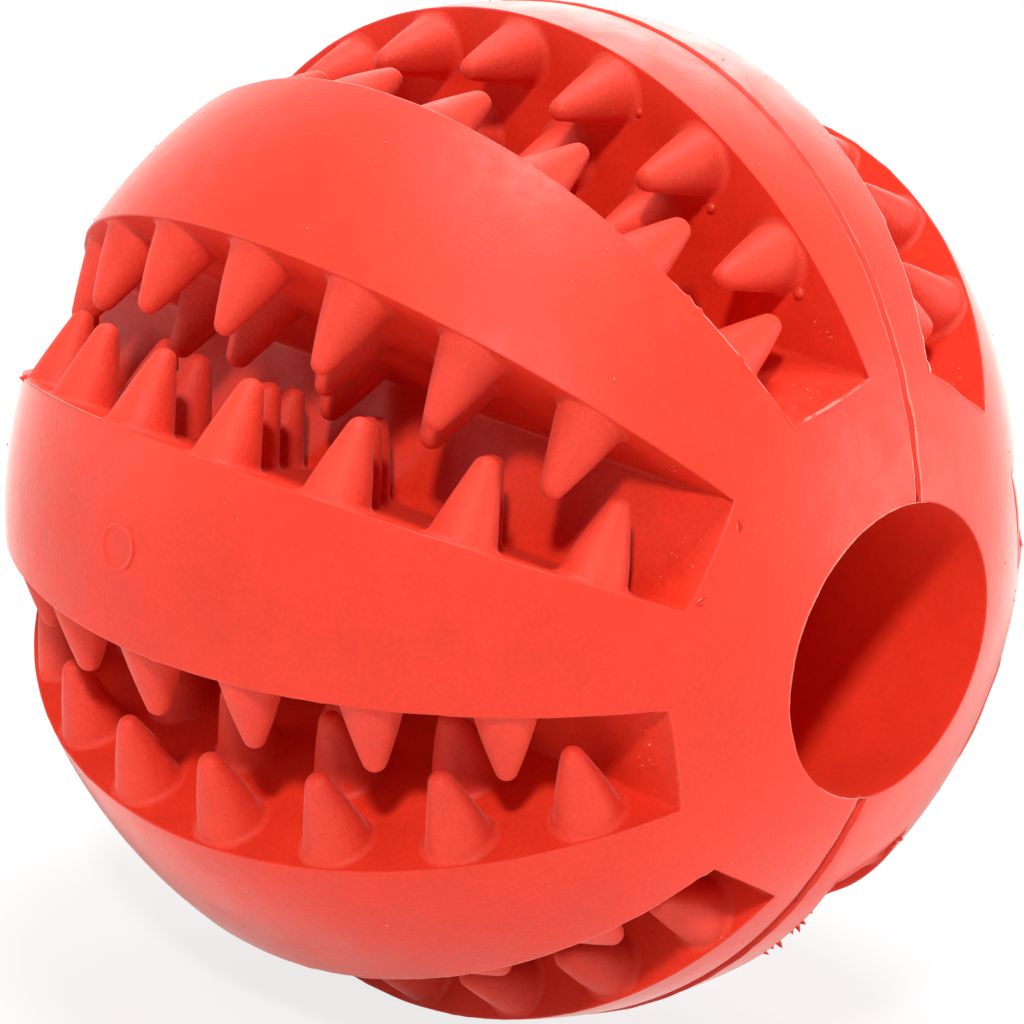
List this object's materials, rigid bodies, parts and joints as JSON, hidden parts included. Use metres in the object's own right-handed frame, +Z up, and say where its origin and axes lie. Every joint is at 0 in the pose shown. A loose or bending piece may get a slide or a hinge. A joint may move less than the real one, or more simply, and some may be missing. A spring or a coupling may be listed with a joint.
{
  "type": "chew ball",
  "caption": "Rubber chew and treat ball with a through bore along its axis and slots along its meridians, each lined on both walls with staggered rows of blunt cone teeth.",
  "frame": {"origin": "the ball's centre, which is the middle of the bore", "axes": "+X along the bore, +Z up in the plane of the mould seam, +Y square to the seam, towards the rear half"},
  "size_m": [0.0676, 0.07, 0.0704],
  "materials": {
    "rubber": "satin red natural rubber, left as it came from the mould"
  },
  "bodies": {
    "root": {"front_half": "rubber", "rear_half": "rubber"}
  },
  "joints": []
}
